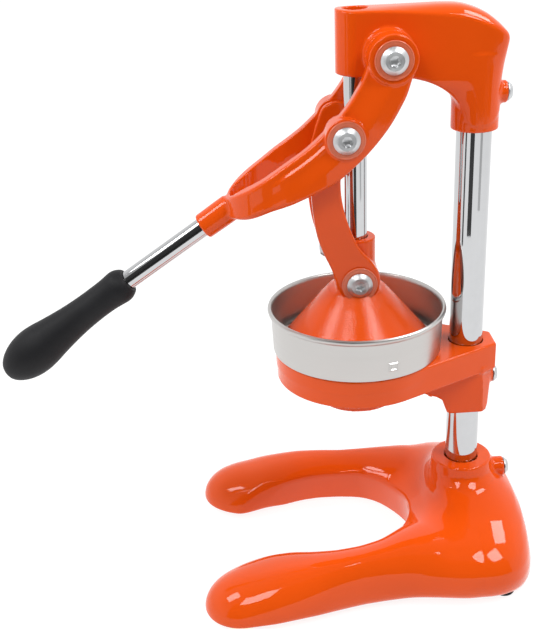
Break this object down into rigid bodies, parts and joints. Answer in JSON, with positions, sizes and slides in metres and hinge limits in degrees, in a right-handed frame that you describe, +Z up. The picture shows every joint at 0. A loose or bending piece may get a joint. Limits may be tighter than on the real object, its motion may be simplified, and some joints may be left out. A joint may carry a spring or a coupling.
{
  "type": "lever citrus juice press",
  "caption": "Hand lever citrus press: horseshoe base, chrome column, arched head, forked lever and links driving a conical bell over a strainer cone and cup.",
  "frame": {"origin": "on the worktop, under the middle of the part's outline seen from above", "axes": "+Z up along the column; -Y is the front, where the handle points; X = 0 is the symmetry plane, with +X to the right of someone facing along +Y"},
  "size_m": [0.2074, 0.4024, 0.4332],
  "materials": {
    "orange_paint": "gloss enamel with a faint orange peel",
    "bell_paint": "semi-gloss enamel over a slightly grainy casting",
    "chrome": "mirror plated",
    "satin_steel": "satin stainless steel",
    "steel_pin": "ground steel",
    "rubber": "matte black rubber",
    "clear_washer": "clear plastic pivot washer"
  },
  "bodies": {
    "stand": {"base_casting": "orange_paint", "foot_front_right": "rubber", "foot_front_left": "rubber", "foot_rear_right": "rubber", "foot_rear_left": "rubber", "column_tube": "chrome", "base_set_screw": "chrome", "bowl_bracket": "orange_paint", "bracket_set_screw": "chrome", "head_casting": "orange_paint", "head_set_screw": "chrome"},
    "lever": {"lever_yoke": "orange_paint", "handle_rod": "chrome", "handle_grip": "rubber", "head_pivot_shaft": "steel_pin", "head_pivot_washer_right": "clear_washer", "head_pivot_washer_left": "clear_washer", "head_pivot_screw_right": "chrome", "head_pivot_screw_left": "chrome", "link_pivot_washer_right": "clear_washer", "link_pivot_washer_left": "clear_washer", "link_pivot_screw_right": "chrome", "link_pivot_screw_left": "chrome"},
    "links": {"link_right": "orange_paint", "link_left": "orange_paint", "link_pivot_pin_right": "steel_pin", "link_pivot_pin_left": "steel_pin"},
    "press": {"press_bell": "bell_paint", "bell_set_screw": "chrome", "guide_rod": "chrome", "bell_pivot_shaft": "steel_pin", "bell_pivot_washer_right": "clear_washer", "bell_pivot_washer_left": "clear_washer", "bell_pivot_screw_right": "chrome", "bell_pivot_screw_left": "chrome"},
    "cup": {"juice_cup": "satin_steel"},
    "strainer": {"strainer_cone": "satin_steel"}
  },
  "joints": [
    {"name": "lever_hinge", "type": "hinge", "parent": "stand", "child": "lever", "pos_m": [0, 0.08798, 0.4036], "axis": [-1, 0, 0], "range_deg": [0, 100]},
    {"name": "link_hinge", "type": "hinge", "parent": "press", "child": "links", "pos_m": [0, 0.06748, 0.2405], "axis": [-1, 0, 0], "range_deg": [-7, 0]},
    {"name": "bell_slide", "type": "slide", "parent": "stand", "child": "press", "axis": [0, 0, 1], "range_m": [0, 0.0935]},
    {"name": "cup_lift", "type": "slide", "parent": "stand", "child": "cup", "axis": [0, 0, 1], "range_m": [0, 0.002]},
    {"name": "strainer_lift", "type": "slide", "parent": "cup", "child": "strainer", "axis": [0, 0, 1], "range_m": [0, 0.0015]}
  ],
  "couplings": [
    {"joint": "link_hinge", "follows": "lever_hinge", "ratio": -0.068918},
    {"joint": "bell_slide", "follows": "lever_hinge", "m_per_rad": 0.053226}
  ]
}
